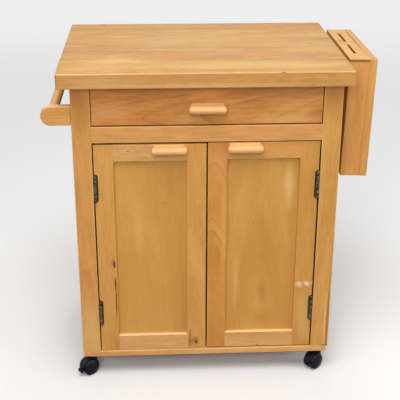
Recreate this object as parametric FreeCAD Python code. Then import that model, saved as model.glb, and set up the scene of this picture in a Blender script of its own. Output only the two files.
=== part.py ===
import FreeCAD, Part
import math
import os

# Wooden kitchen cart: a two-door case under one drawer, on four twin-wheel casters,
# with a towel rail on its left side and a knife block on its right side.
# Millimetres. +Z is up, -Y is the front, +X is the user's right when facing the doors.
# The pieces are drawn with the case's middle at x = 0, the posts' front faces at y = 0 and the floor at
# z = 0. At the end everything moves so that the origin is the middle of the bounding box's bottom.

Vector = FreeCAD.Vector

# Case
case_width = 668.0
case_depth = 495.0
case_height = 760.0
base_thickness = 17.0
base_edge_radius = 2.5
base_inset_left = 1.8
base_inset_right = 4.5
post_width = 47.5
post_depth = 40.0
post_edge_radius = 1.5
board_edge_radius = 1.0
side_panel_thickness = 14.0
side_panel_recess = 10.0
back_panel_thickness = 9.0
back_panel_recess = 6.0
panel_groove_depth = 8.0

# Worktop
worktop_thickness = 38.0
worktop_overhang_front = 24.0
worktop_overhang_back = 26.0
worktop_overhang_left = 30.5
worktop_overhang_right = 23.5
worktop_corner_radius = 5.0
worktop_top_radius = 3.5
worktop_bottom_radius = 3.0

# Front openings
drawer_opening_height = 103.0
drawer_rail_height = 41.0
drawer_rail_depth = 20.0

# Drawer
drawer_front_gap_side = 2.0
drawer_front_gap_bottom = 3.7
drawer_front_gap_top = 3.0
drawer_front_setback = 3.0
drawer_front_thickness = 20.0
drawer_side_thickness = 12.0
drawer_side_height = 86.0
drawer_side_lift = 6.0
drawer_bottom_thickness = 5.0
drawer_bottom_lift = 8.0
drawer_groove_depth = 6.0

# Drawer runners, one L-shaped board on each side with a stop at its back end
runner_width = 36.5
runner_ledge_thickness = 18.0
runner_guide_width = 19.9
runner_guide_height = 35.0
runner_side_clearance = 0.6
runner_top_clearance = 0.3
runner_stop_thickness = 14.7
runner_stop_clearance = 0.3
runner_front_clearance = 0.3

# Doors
door_thickness = 20.0
door_setback = 4.0
door_bottom_gap = 3.0
door_top_gap = 4.0
left_door_drop = 2.3
door_hinge_gap = 2.5
door_meeting_gap = 3.6
door_stile_width = 49.0
door_top_rail_height = 44.5
door_bottom_rail_height = 45.0
door_panel_thickness = 6.0
door_panel_recess = 10.5
door_groove_depth = 8.0
door_handle_center = 95.0
door_edge_radius = 1.2

# Wooden finger pulls on the drawer and the doors
drawer_handle_width = 97.0
door_handle_width = 94.0
handle_back_narrowing = 12.0
handle_depth = 24.0
handle_slope = 4.5
handle_nose_radius = 10.0
handle_end_radius = 6.5
handle_cove_radius = 6.5
handle_cove_out = 5.5
handle_cove_down = 23.0
drawer_handle_down = 41.8

# Butt hinges
hinge_leaf_length = 68.0
hinge_leaf_thickness = 1.1
hinge_leaf_depth = 20.0
hinge_leaf_clearance = 0.3
hinge_axis_setback = 1.0
hinge_knuckle_count = 5
hinge_knuckle_radius = 4.0
hinge_knuckle_bite = 0.5
hinge_knuckle_clearance = 0.2
hinge_pin_radius = 2.0
hinge_pin_clearance = 0.05
hinge_pin_cap_radius = 3.6
hinge_pin_cap_height = 2.0
hinge_from_door_bottom = 117.0
hinge_from_door_top = 115.0
hinge_screw_radius = 1.6
hinge_screw_head_radius = 3.2
hinge_screw_length = 16.0
hinge_screw_head_height = 1.0
hinge_screw_spacing = 24.0
hinge_screw_stagger = 3.0
hinge_screw_hole_clearance = 0.1
hinge_pocket_width = 9.5
hinge_pocket_depth = 4.0
hinge_pocket_above = 1.5
hinge_pocket_below = 4.5
hinge_pocket_radius = 8.0

# Magnetic catch behind the doors
catch_width = 52.0
catch_drop = 24.0
catch_height = 42.0
catch_depth = 20.0
catch_edge_radius = 1.5
strike_size = 15.0
strike_thickness = 1.2
strike_gap = 0.3
strike_down = 5.0
strike_from_meeting_edge = 5.0

# Shelf
shelf_thickness = 16.0
shelf_height_in_case = 288.0
shelf_post_gap = 1.0
shelf_side_gap = 1.0
shelf_pin_radius = 2.5
shelf_pin_length = 16.0
shelf_pin_depth = 8.0
shelf_pin_setback = 45.0

# Towel rail
towel_bracket_projection = 73.5
towel_bracket_height = 48.3
towel_bracket_thickness = 22.0
towel_bracket_drop = 49.0
towel_bracket_edge_radius = 1.5
towel_dowel_radius = 12.5
towel_dowel_offset = 46.5
towel_dowel_insert = 13.0

# Knife block
block_width = 69.5
block_depth = 340.0
block_height = 313.0
block_setback = 88.0
block_lean_degrees = 1.25
block_worktop_gap = 7.0
block_outer_thickness = 19.0
block_inner_thickness = 10.0
block_end_thickness = 16.0
block_end_recess = 1.5
block_lid_thickness = 5.0
block_bottom_thickness = 10.0
block_edge_radius = 1.2
slot_width = 7.0
slot_length = 110.0
slot_from_inner = 24.0
slot_front_margin = 59.0
slot_spacing = 130.5
spacer_height = 44.0
spacer_end_margin = 42.0
spacer_top_margin = 60.0
spacer_bottom_margin = 26.0
spacer_length_overrun = 20.0

# Casters
caster_height = 59.0
caster_stem_setback = 24.0
caster_stem_radius = 4.0
caster_stem_insert = 34.0
caster_collar_radius = 12.0
caster_collar_thickness = 2.5
caster_trail = 14.0
caster_swivel_degrees = -50.0
wheel_radius = 23.0
wheel_width = 16.8
wheel_gap = 6.0
wheel_dome_height = 5.0
wheel_edge_radius = 2.0
axle_radius = 2.5
axle_end_inset = 3.0
hood_clearance = 0.7
hood_thickness = 2.3
hood_width = 19.0
hood_edge_radius = 0.8
hood_end_degrees = 172.0
hood_boss_radius = 11.5
hood_boss_gap = 0.5
hood_web_thickness = 3.8
hood_web_radius = 16.0
hood_stem_bore_depth = 10.0
running_clearance = 0.05
brake_plate_thickness = 3.0
brake_cheek_thickness = 0.9
brake_cheek_gap = 0.2
brake_pivot_radius = 1.3
brake_pivot_distance = 18.0
brake_pivot_degrees = 160.0
brake_hub_radius = 3.0
brake_arm_width = 5.0
brake_arm_reach = 26.6
brake_pedal_width = 16.0
brake_pedal_length = 6.5
brake_pedal_height = 9.0
brake_pedal_level = 14.0
brake_pedal_radius = 3.0

# How far a cutting tool runs past what it cuts, and how close two places count as one
cut_overrun = 1.0
same_place = 0.001

# Places that follow from the sizes above
half_case = case_width / 2
base_bottom = caster_height
case_floor = base_bottom + base_thickness
case_top = base_bottom + case_height
worktop_top = case_top + worktop_thickness
half_opening = half_case - post_width
rail_top = case_top - drawer_opening_height
rail_bottom = rail_top - drawer_rail_height
side_panel_outer = half_case - side_panel_recess
side_panel_inner = side_panel_outer - side_panel_thickness
back_panel_back = case_depth - back_panel_recess
back_panel_front = back_panel_back - back_panel_thickness
door_back = door_setback + door_thickness
door_edge = half_opening - door_hinge_gap
right_door_bottom = case_floor + door_bottom_gap
right_door_top = rail_bottom - door_top_gap
hinge_axis_x = half_opening - hinge_leaf_thickness - hinge_knuckle_radius + hinge_knuckle_bite
hinge_axis_y = hinge_axis_setback
upper_hinge_center = right_door_top - hinge_from_door_top
lower_hinge_center = right_door_bottom + hinge_from_door_bottom
hinge_centers = (lower_hinge_center, upper_hinge_center)
drawer_front_back = drawer_front_setback + drawer_front_thickness
drawer_side_outer = half_opening - runner_guide_width - runner_side_clearance
drawer_side_inner = drawer_side_outer - drawer_side_thickness
drawer_side_bottom = rail_top + drawer_side_lift
drawer_side_top = drawer_side_bottom + drawer_side_height
drawer_back_end = back_panel_front - runner_stop_thickness - runner_stop_clearance
drawer_bottom_level = drawer_side_bottom + drawer_bottom_lift
runner_top = drawer_side_bottom - runner_top_clearance
towel_rail_level = case_top - towel_bracket_drop - towel_bracket_height / 2
towel_dowel_x = -half_case - towel_dowel_offset
caster_stem_x = half_case - post_width / 2
caster_stem_y_front = caster_stem_setback
caster_stem_y_back = case_depth - caster_stem_setback
worktop_right = half_case + worktop_overhang_right


def box(x0, x1, y0, y1, z0, z1):
    """A box between two values on each axis."""
    return Part.makeBox(x1 - x0, y1 - y0, z1 - z0, Vector(x0, y0, z0))


def edges_at(shape, *places):
    """The edges whose ends all lie at one of the places, each given as values of x, y or z."""
    found = []
    for edge in shape.Edges:
        for place in places:
            off = [getattr(end, axis.upper()) - value for end in edge.Vertexes for axis, value in place.items()]
            if all(abs(distance) < same_place for distance in off):
                found.append(edge)
                break
    return found


def eased(shape, radius, *places):
    """The shape with the edges at these places rounded."""
    return shape.makeFillet(radius, edges_at(shape, *places))


def mirrored(shape):
    """The same piece on the other side of the cart."""
    return shape.mirror(Vector(0, 0, 0), Vector(1, 0, 0))


def moved(shape, x, y, z):
    """A copy of the shape, moved."""
    copy = shape.copy()
    copy.translate(Vector(x, y, z))
    return copy


def prism_yz(points, x0, x1):
    """A flat outline in y and z, carried from x0 to x1."""
    wire = Part.makePolygon([Vector(x0, y, z) for y, z in points + points[:1]])
    return Part.Face(wire).extrude(Vector(x1 - x0, 0, 0))


def prism_xz(points, y0, y1):
    """A flat outline in x and z, carried from y0 to y1."""
    wire = Part.makePolygon([Vector(x, y0, z) for x, z in points + points[:1]])
    return Part.Face(wire).extrude(Vector(0, y1 - y0, 0))


def rod(radius, length, start, direction):
    """A round rod."""
    return Part.makeCylinder(radius, length, start, direction)


def upright(radius, length, x, y, z):
    """A round rod that stands up from a place."""
    return rod(radius, length, Vector(x, y, z), Vector(0, 0, 1))


def rims_at(shape, axis, value):
    """The edges whose ends all lie at one value of x, y or z."""
    return edges_at(shape, {axis: value})


def make_worktop():
    """The thick laminated top, with rounded corners and edges."""
    left = -half_case - worktop_overhang_left
    front = -worktop_overhang_front
    back = case_depth + worktop_overhang_back
    top = box(left, worktop_right, front, back, case_top, worktop_top)
    corners = [dict(x=x, y=y) for x in (left, worktop_right) for y in (front, back)]
    top = eased(top, worktop_corner_radius, *corners)
    top = eased(top, worktop_top_radius, dict(z=worktop_top))
    return eased(top, worktop_bottom_radius, dict(z=case_top))


def make_base_board():
    """The board under the posts, with a hole for each caster stem."""
    left = -half_case + base_inset_left
    right = half_case - base_inset_right
    board = box(left, right, 0, case_depth, base_bottom, case_floor)
    board = board.makeFillet(base_edge_radius, board.Edges)
    return board.cut(caster_stem_holes())


def caster_places():
    """The stem place of each caster, by name."""
    places = {}
    for end, y in (("front", caster_stem_y_front), ("back", caster_stem_y_back)):
        for side, sign in (("left", -1), ("right", 1)):
            places[end + "_" + side] = (sign * caster_stem_x, y)
    return places


def caster_stem_holes():
    """The holes that the stems fill in the base board and the posts."""
    length = base_thickness + caster_stem_insert
    places = caster_places().values()
    return Part.makeCompound([upright(caster_stem_radius, length, x, y, base_bottom) for x, y in places])


def side_panel_solid():
    """The left side panel, with its edges in the posts' grooves."""
    front = post_depth - panel_groove_depth
    back = case_depth - post_depth + panel_groove_depth
    return box(-side_panel_outer, -side_panel_inner, front, back, case_floor, case_top)


def back_panel_solid():
    """The back panel, with its edges in the back posts' grooves."""
    reach = half_opening + panel_groove_depth
    return box(-reach, reach, back_panel_front, back_panel_back, case_floor, case_top)


def make_posts(cutters):
    """The four corner posts, grooved for the panels and bored for the stems and screws."""
    posts = {}
    for end, y0 in (("front", 0), ("back", case_depth - post_depth)):
        post = box(-half_case, -half_opening, y0, y0 + post_depth, case_floor, case_top)
        corners = [dict(x=x, y=y) for x in (-half_case, -half_opening) for y in (y0, y0 + post_depth)]
        post = eased(post, post_edge_radius, *corners)
        for side, shape in (("left", post), ("right", mirrored(post))):
            posts["post_" + end + "_" + side] = shape.cut(cutters)
    return posts


def make_side_panels():
    """Both side panels, with holes for the shelf pins."""
    left = side_panel_solid()
    pins = shelf_pin_group()
    return {"side_panel_left": left.cut(pins), "side_panel_right": mirrored(left).cut(pins)}


def make_drawer_rail():
    """The rail between the drawer and the doors."""
    rail = box(-half_opening, half_opening, 0, drawer_rail_depth, rail_bottom, rail_top)
    return eased(rail, board_edge_radius, dict(y=0, z=rail_bottom), dict(y=0, z=rail_top))


def make_drawer_runner():
    """The left runner: a ledge under the drawer side, a guide beside it and a stop behind it."""
    outer = -half_opening
    inner = outer + runner_width
    guide = outer + runner_guide_width
    bottom = runner_top - runner_ledge_thickness
    guide_top = runner_top + runner_guide_height
    ledge = [(outer, bottom), (inner, bottom), (inner, runner_top)]
    outline = ledge + [(guide, runner_top), (guide, guide_top), (outer, guide_top)]
    front = drawer_front_back + runner_front_clearance
    runner = prism_xz(outline, front, back_panel_front)
    stop_front = back_panel_front - runner_stop_thickness
    stop = box(guide, inner, stop_front, back_panel_front, runner_top, guide_top)
    return runner.fuse(stop).removeSplitter()


def make_shelf():
    """The loose shelf between the posts."""
    reach = side_panel_inner - shelf_side_gap
    front = post_depth + shelf_post_gap
    back = case_depth - post_depth - shelf_post_gap
    bottom = case_floor + shelf_height_in_case
    shelf = box(-reach, reach, front, back, bottom, bottom + shelf_thickness)
    return eased(shelf, board_edge_radius, dict(y=front, z=bottom), dict(y=front, z=bottom + shelf_thickness))


def shelf_pin_group():
    """The four pins that the shelf rests on."""
    level = case_floor + shelf_height_in_case - shelf_pin_radius
    pins = []
    for y in (post_depth + shelf_pin_setback, case_depth - post_depth - shelf_pin_setback):
        start = -side_panel_inner - shelf_pin_depth
        pin = rod(shelf_pin_radius, shelf_pin_length, Vector(start, y, level), Vector(1, 0, 0))
        pins += [pin, mirrored(pin)]
    return Part.makeCompound(pins)


def make_towel_rail():
    """Two rounded brackets on the left posts, and the dowel between them."""
    half = towel_bracket_height / 2
    tip = -half_case - towel_bracket_projection
    round_x = tip + half
    brackets = {}
    back_face = case_depth - towel_bracket_thickness
    dowel_start = towel_bracket_thickness - towel_dowel_insert
    dowel_end = back_face + towel_dowel_insert
    dowel_axis = Vector(towel_dowel_x, dowel_start, towel_rail_level)
    dowel = rod(towel_dowel_radius, dowel_end - dowel_start, dowel_axis, Vector(0, 1, 0))
    for name, y0 in (("towel_bracket_front", 0), ("towel_bracket_back", back_face)):
        low = Vector(round_x, y0, towel_rail_level - half)
        high = Vector(round_x, y0, towel_rail_level + half)
        end = Part.Arc(low, Vector(tip, y0, towel_rail_level), high).toShape()
        root_low = Vector(-half_case, y0, low.z)
        root_high = Vector(-half_case, y0, high.z)
        sides = Part.makePolygon([high, root_high, root_low, low])
        face = Part.Face(Part.Wire([end] + sides.Edges))
        bracket = face.extrude(Vector(0, towel_bracket_thickness, 0))
        rims = [edge for edge in bracket.Edges if is_bracket_rim(edge, y0)]
        brackets[name] = bracket.makeFillet(towel_bracket_edge_radius, rims).cut(dowel)
    brackets["towel_dowel"] = dowel
    return brackets


def is_bracket_rim(edge, y0):
    """Whether an edge lies on a bracket's front or back outline, clear of the post."""
    ys = [vertex.Y for vertex in edge.Vertexes]
    along_face = max(ys) - min(ys) < same_place
    on_post = all(abs(vertex.X + half_case) < same_place for vertex in edge.Vertexes)
    return along_face and not on_post


def block_place(shape):
    """A piece of the knife block, leaned about its upper edge beside the worktop."""
    leaned = shape.copy()
    pivot = Vector(worktop_right + block_worktop_gap, 0, worktop_top)
    leaned.rotate(pivot, Vector(0, 1, 0), block_lean_degrees)
    return leaned


def make_knife_block():
    """The open box for knives: six boards, hung on two spacers on the right side panel."""
    inner = worktop_right + block_worktop_gap
    outer = inner + block_width
    front = block_setback
    back = front + block_depth
    bottom = worktop_top - block_height
    lid_bottom = worktop_top - block_lid_thickness
    inner_face = inner + block_inner_thickness
    outer_face = outer - block_outer_thickness
    end_front = front + block_end_recess
    end_back = back - block_end_recess
    outer_board = box(outer_face, outer, front, back, bottom, worktop_top)
    outer_board = eased(outer_board, block_edge_radius, dict(x=outer))
    lid = box(inner, outer_face, front, back, lid_bottom, worktop_top)
    rims = [dict(y=front, z=worktop_top), dict(y=back, z=worktop_top), dict(x=inner, z=worktop_top)]
    lid = eased(lid, board_edge_radius, *rims)
    for number in range(2):
        slot_start = front + slot_front_margin + number * slot_spacing
        lid = lid.cut(slot_cutter(inner + slot_from_inner, slot_start, lid_bottom))
    front_inside = end_front + block_end_thickness
    back_inside = end_back - block_end_thickness
    floor = bottom + block_bottom_thickness
    boards = {
        "knife_block_outer_board": outer_board,
        "knife_block_lid": lid,
        "knife_block_inner_board": box(inner, inner_face, end_front, end_back, bottom, lid_bottom),
        "knife_block_front_board": box(inner_face, outer_face, end_front, front_inside, bottom, lid_bottom),
        "knife_block_back_board": box(inner_face, outer_face, back_inside, end_back, bottom, lid_bottom),
        "knife_block_bottom": box(inner_face, outer_face, front_inside, back_inside, bottom, floor),
    }
    boards = {name: block_place(board) for name, board in boards.items()}
    boards["knife_block_spacers"] = make_block_spacers(inner, front, back, bottom)
    return boards


def slot_cutter(x, y0, z0):
    """The long rounded hole of one knife slot, starting at y0."""
    radius = slot_width / 2
    low = z0 - cut_overrun
    height = block_lid_thickness + 2 * cut_overrun
    ends = (y0 + radius, y0 + slot_length - radius)
    middle = box(x - radius, x + radius, ends[0], ends[1], low, low + height)
    return middle.fuse([upright(radius, height, x, y, low) for y in ends])


def make_block_spacers(inner, front, back, bottom):
    """Two spacers between the side panel and the leaning block."""
    envelope = block_place(box(inner, inner + block_width, front, back, bottom, worktop_top))
    y0 = front + spacer_end_margin
    y1 = back - spacer_end_margin
    high = case_top - spacer_top_margin
    low = bottom + spacer_bottom_margin
    spacers = []
    for z0 in (high - spacer_height, low):
        spacer = box(side_panel_outer, inner + spacer_length_overrun, y0, y1, z0, z0 + spacer_height)
        spacers.append(spacer.cut(envelope).Solids[0])
    return Part.makeCompound(spacers)


def handle_profile(left, face_y, top_z):
    """The outline of a pull's side: a scooped top, a rounded nose and a flat underside."""
    nose_y = face_y - handle_depth + handle_nose_radius
    nose_top = top_z - handle_slope
    nose_bottom = nose_top - 2 * handle_nose_radius
    run = face_y - nose_y
    scoop_radius = (run ** 2 + handle_slope ** 2) / (2 * handle_slope)
    turn = math.asin(run / scoop_radius) / 2
    scoop_y = nose_y + scoop_radius * math.sin(turn)
    scoop_z = nose_top + scoop_radius * (1 - math.cos(turn))
    top_back = Vector(left, face_y, top_z)
    nose_ends = (Vector(left, nose_y, nose_top), Vector(left, nose_y, nose_bottom))
    nose_tip = Vector(left, face_y - handle_depth, nose_top - handle_nose_radius)
    scoop = Part.Arc(top_back, Vector(left, scoop_y, scoop_z), nose_ends[0]).toShape()
    nose = Part.Arc(nose_ends[0], nose_tip, nose_ends[1]).toShape()
    sides = Part.makePolygon([nose_ends[1], Vector(left, face_y, nose_bottom), top_back])
    return Part.Face(Part.Wire([scoop, nose] + sides.Edges))


def make_handle(center_x, face_y, top_z, front_width):
    """A wooden finger pull: rounded all over, with a cove under it, wider at its front than at its back."""
    front_half = front_width / 2
    back_half = front_half - handle_back_narrowing / 2
    left = center_x - front_half
    right = center_x + front_half
    body = handle_profile(left, face_y, top_z).extrude(Vector(right - left, 0, 0))
    low = top_z - handle_slope - 2 * handle_nose_radius - cut_overrun
    plan_points = [
        Vector(center_x - back_half, face_y, low), Vector(left, face_y - handle_depth, low),
        Vector(right, face_y - handle_depth, low), Vector(center_x + back_half, face_y, low),
    ]
    plan = Part.Face(Part.makePolygon(plan_points + plan_points[:1]))
    body = body.common(plan.extrude(Vector(0, 0, top_z - low + cut_overrun)))
    body = body.makeFillet(handle_end_radius, handle_end_edges(body, center_x, face_y, back_half))
    cove_axis = Vector(left - cut_overrun, face_y - handle_cove_out, top_z - handle_cove_down)
    return body.cut(rod(handle_cove_radius, right - left + 2 * cut_overrun, cove_axis, Vector(1, 0, 0)))


def handle_end_edges(body, center_x, face_y, back_half):
    """The edges round both ends of a pull, clear of the face that it sits on."""
    found = []
    for edge in body.Edges:
        middle = edge.valueAt((edge.FirstParameter + edge.LastParameter) / 2)
        if abs(middle.x - center_x) > back_half - same_place and abs(middle.y - face_y) > same_place:
            found.append(edge)
    return found


def make_drawer():
    """The drawer: its front and pull, two sides, a back and a bottom in grooves."""
    reach = half_opening - drawer_front_gap_side
    low = rail_top + drawer_front_gap_bottom
    high = case_top - drawer_front_gap_top
    front = box(-reach, reach, drawer_front_setback, drawer_front_back, low, high)
    front = eased(front, door_edge_radius, dict(y=drawer_front_setback))
    outer = drawer_side_outer
    inner = drawer_side_inner
    side_top = drawer_side_top
    side = box(-outer, -inner, drawer_front_back, drawer_back_end, drawer_side_bottom, side_top)
    bottom_reach = inner + drawer_groove_depth
    bottom_front = drawer_front_back - drawer_groove_depth
    bottom_low = drawer_bottom_level
    bottom_top = bottom_low + drawer_bottom_thickness
    back_front = drawer_back_end - drawer_side_thickness
    bottom = box(-bottom_reach, bottom_reach, bottom_front, drawer_back_end, bottom_low, bottom_top)
    back = box(-inner, inner, back_front, drawer_back_end, bottom_top, side_top)
    return {
        "drawer_front": front.cut(bottom),
        "drawer_side_left": side.cut(bottom),
        "drawer_side_right": mirrored(side).cut(bottom),
        "drawer_back": back,
        "drawer_bottom": bottom,
        "drawer_handle": make_handle(0, drawer_front_setback, high - drawer_handle_down, drawer_handle_width),
    }


def make_left_door():
    """The left door at the right door's height: four frame pieces, a flat panel in grooves, and its pull."""
    y0 = door_setback
    z0 = right_door_bottom
    z1 = right_door_top
    meeting = -door_meeting_gap / 2
    outer_inner = -door_edge + door_stile_width
    inner_outer = meeting - door_stile_width
    panel_front = y0 + door_panel_recess
    panel_back = panel_front + door_panel_thickness
    panel_low = z0 + door_bottom_rail_height
    panel_high = z1 - door_top_rail_height
    groove = door_groove_depth
    panel_left = outer_inner - groove
    panel_right = inner_outer + groove
    panel = box(panel_left, panel_right, panel_front, panel_back, panel_low - groove, panel_high + groove)
    ends = [dict(y=y0, z=z0), dict(y=y0, z=z1)]
    outer_stile = box(-door_edge, outer_inner, y0, door_back, z0, z1)
    outer_stile = eased(outer_stile, door_edge_radius, dict(x=-door_edge, y=y0), *ends)
    inner_stile = box(inner_outer, meeting, y0, door_back, z0, z1)
    inner_stile = eased(inner_stile, door_edge_radius, dict(x=meeting, y=y0), *ends)
    top_rail = box(outer_inner, inner_outer, y0, door_back, panel_high, z1)
    top_rail = eased(top_rail, door_edge_radius, dict(y=y0, z=z1), dict(y=y0, z=panel_high))
    bottom_rail = box(outer_inner, inner_outer, y0, door_back, z0, panel_low)
    bottom_rail = eased(bottom_rail, door_edge_radius, dict(y=y0, z=z0), dict(y=y0, z=panel_low))
    return {
        "outer_stile": outer_stile.cut(panel).cut(hinge_pockets()),
        "inner_stile": inner_stile.cut(panel),
        "top_rail": top_rail.cut(panel),
        "bottom_rail": bottom_rail.cut(panel),
        "panel": panel,
        "handle": make_handle(-door_handle_center, y0, z1, door_handle_width),
        "strike": make_strike(meeting, z1),
    }


def hinge_pockets():
    """The two round-ended pockets in the left door's edge that the hinge barrels sit in."""
    pockets = []
    reach = hinge_leaf_length / 2 + hinge_pin_cap_height
    edge = -door_edge - cut_overrun
    inner = -door_edge + hinge_pocket_width
    front = door_setback - cut_overrun
    floor = door_setback + hinge_pocket_depth
    for level in hinge_centers:
        low = level - reach - hinge_pocket_below
        high = level + reach + hinge_pocket_above
        pocket = box(edge, inner, front, floor, low, high)
        pockets.append(eased(pocket, hinge_pocket_radius, dict(x=inner, z=low), dict(x=inner, z=high)))
    return Part.makeCompound(pockets)


def make_strike(meeting, door_top):
    """The small steel plate on the back of a door that the catch holds."""
    right = meeting - strike_from_meeting_edge
    top = door_top - strike_down
    return box(right - strike_size, right, door_back, door_back + strike_thickness, top - strike_size, top)


def make_doors():
    """Both doors; the left one hangs a little lower."""
    doors = {}
    for name, shape in make_left_door().items():
        doors["left_door_" + name] = moved(shape, 0, 0, -left_door_drop)
        doors["right_door_" + name] = mirrored(shape)
    return doors


def make_catch():
    """The magnetic catch: screwed to the back of the drawer rail, with its lower half behind the doors."""
    half = catch_width / 2
    top = rail_bottom + catch_height - catch_drop
    body_front = door_back + strike_thickness + strike_gap
    upper = box(-half, half, drawer_rail_depth, body_front + catch_depth, rail_bottom, top)
    lower = box(-half, half, body_front, body_front + catch_depth, top - catch_height, rail_bottom)
    catch = upper.fuse(lower).removeSplitter()
    back = body_front + catch_depth
    return eased(catch, catch_edge_radius, dict(y=back, z=top), dict(y=back, z=top - catch_height))


def knuckle_spans(first):
    """The lower and upper end of every second knuckle along a hinge, from its middle."""
    pitch = hinge_leaf_length / hinge_knuckle_count
    gap = hinge_knuckle_clearance / 2
    starts = [number * pitch - hinge_leaf_length / 2 for number in range(first, hinge_knuckle_count, 2)]
    return [(start + gap, start + pitch - gap) for start in starts]


def make_hinge():
    """One left hinge about z = 0: the post's leaf, the door's leaf, the pin and the post leaf's screws."""
    high = hinge_leaf_length / 2
    low = -high
    wall = -half_opening
    frame_plate = (wall, wall + hinge_leaf_thickness)
    door_plate = (-door_edge - hinge_leaf_thickness, -door_edge)
    bore = upright(hinge_pin_radius + hinge_pin_clearance, high - low, -hinge_axis_x, hinge_axis_y, low)
    screws = hinge_screws(wall + hinge_leaf_thickness)
    holes = hinge_screws(wall + hinge_leaf_thickness, hinge_screw_hole_clearance)
    leaves = []
    for plate, spans in ((frame_plate, knuckle_spans(0)), (door_plate, knuckle_spans(1))):
        clear_y = hinge_axis_y + hinge_knuckle_radius + hinge_leaf_clearance
        leaf = box(plate[0], plate[1], clear_y, hinge_axis_y + hinge_leaf_depth, low, high)
        for start, end in spans:
            tongue = box(plate[0], plate[1], hinge_axis_y, clear_y, start, end)
            knuckle = upright(hinge_knuckle_radius, end - start, -hinge_axis_x, hinge_axis_y, start)
            leaf = leaf.fuse([tongue, knuckle])
        leaves.append(leaf.removeSplitter().cut(bore))
    leaves[0] = leaves[0].cut(holes)
    return leaves[0], leaves[1], make_hinge_pin(low, high), screws


def make_hinge_pin(low, high):
    """The pin with a button cap at each end."""
    pin = upright(hinge_pin_radius, high - low, -hinge_axis_x, hinge_axis_y, low)
    dome = hinge_pin_cap_height / 2
    cap_bottom = low - hinge_pin_cap_height
    for start, far in ((high, high + hinge_pin_cap_height), (cap_bottom, cap_bottom)):
        cap = upright(hinge_pin_cap_radius, hinge_pin_cap_height, -hinge_axis_x, hinge_axis_y, start)
        pin = pin.fuse(cap.makeFillet(dome, rims_at(cap, "z", far)))
    return pin


def hinge_screws(face_x, clearance=0):
    """Three countersunk screws through a leaf into the post, or their holes."""
    screws = []
    middle = hinge_axis_y + (hinge_leaf_depth + hinge_knuckle_radius) / 2
    head_radius = hinge_screw_head_radius + clearance
    radius = hinge_screw_radius + clearance
    inward = Vector(-1, 0, 0)
    for step in (-1, 0, 1):
        stagger = hinge_screw_stagger if step == 0 else -hinge_screw_stagger
        start = Vector(face_x, middle + stagger, step * hinge_screw_spacing)
        head = Part.makeCone(head_radius, radius, hinge_screw_head_height, start, inward)
        shank = rod(radius, hinge_screw_length, start, inward)
        screws.append(head.fuse(shank).removeSplitter())
    return Part.makeCompound(screws)


def make_hinges():
    """All four hinges, grouped by what carries them, and the holes for their screws."""
    frame_leaf, door_leaf, pin, screws = make_hinge()
    wall_face = -half_opening + hinge_leaf_thickness
    holes = hinge_screws(wall_face, hinge_screw_hole_clearance)
    frame_leaves, pins, all_screws, all_holes = [], [], [], []
    door_leaves = {"left": [], "right": []}
    for level in hinge_centers:
        for side, drop in (("left", left_door_drop), ("right", 0)):
            pieces = [moved(shape, 0, 0, level - drop) for shape in (frame_leaf, door_leaf, pin, screws, holes)]
            if side == "right":
                pieces = [mirrored(shape) for shape in pieces]
            frame_leaves += pieces[0].Solids
            door_leaves[side] += pieces[1].Solids
            pins += pieces[2].Solids
            all_screws += pieces[3].Solids
            all_holes += pieces[4].Solids
    nodes = {
        "hinge_frame_leaves_and_pins": Part.makeCompound(frame_leaves + pins),
        "hinge_frame_screws": Part.makeCompound(all_screws),
        "left_door_hinge_leaves": Part.makeCompound(door_leaves["left"]),
        "right_door_hinge_leaves": Part.makeCompound(door_leaves["right"]),
    }
    return nodes, Part.makeCompound(all_holes)


def make_caster_stems():
    """Four steel stems: a pin from the hood up into the base board and post, with a collar under the board."""
    stems = []
    collar_bottom = base_bottom - caster_collar_thickness
    bottom = collar_bottom - hood_boss_gap - hood_stem_bore_depth
    length = base_bottom + base_thickness + caster_stem_insert - bottom
    for x, y in caster_places().values():
        pin = upright(caster_stem_radius, length, x, y, bottom)
        collar = upright(caster_collar_radius, caster_collar_thickness, x, y, collar_bottom)
        stems.append(pin.fuse(collar).removeSplitter())
    return Part.makeCompound(stems)


def axle_rod(radius, half_length, extra=0):
    """A rod along the axle of a caster that stands at x = y = 0."""
    start = Vector(-half_length - extra, -caster_trail, wheel_radius)
    return rod(radius, 2 * (half_length + extra), start, Vector(1, 0, 0))


def wheel_profile():
    """One wheel: a tread with a domed outer face."""
    inner = wheel_gap / 2
    outer = inner + wheel_width
    wheel = rod(wheel_radius, wheel_width, Vector(inner, -caster_trail, wheel_radius), Vector(1, 0, 0))
    dome_radius = (wheel_radius ** 2 + wheel_dome_height ** 2) / (2 * wheel_dome_height)
    dome = Part.makeSphere(dome_radius, Vector(outer - dome_radius, -caster_trail, wheel_radius))
    wheel = wheel.common(dome)
    return wheel.makeFillet(wheel_edge_radius, rims_at(wheel, "x", outer - wheel_dome_height))


def make_wheels():
    """Both wheels of a caster and the axle that they are pressed on."""
    half_axle = wheel_gap / 2 + wheel_width - axle_end_inset
    axle = axle_rod(axle_radius, half_axle)
    wheel = wheel_profile().cut(axle)
    return Part.makeCompound([wheel, mirrored(wheel), axle])


def hood_shell():
    """The curved cover over the wheels, from the stem's side over the top."""
    inner = wheel_radius + hood_clearance
    outer = inner + hood_thickness
    half_width = hood_width / 2
    drum = axle_rod(outer, half_width)
    drum = drum.makeFillet(hood_edge_radius, [edge for edge in drum.Edges if edge.Closed])
    tube = drum.cut(axle_rod(inner, half_width, cut_overrun))
    angle = math.radians(hood_end_degrees)
    far = 2 * outer
    keep = [
        (-caster_trail, wheel_radius),
        (-caster_trail + far, wheel_radius),
        (-caster_trail + far, wheel_radius + far),
        (-caster_trail - far, wheel_radius + far),
        (-caster_trail + far * math.cos(angle), wheel_radius + far * math.sin(angle)),
    ]
    return tube.common(prism_yz(keep, -half_width - cut_overrun, half_width + cut_overrun))


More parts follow.
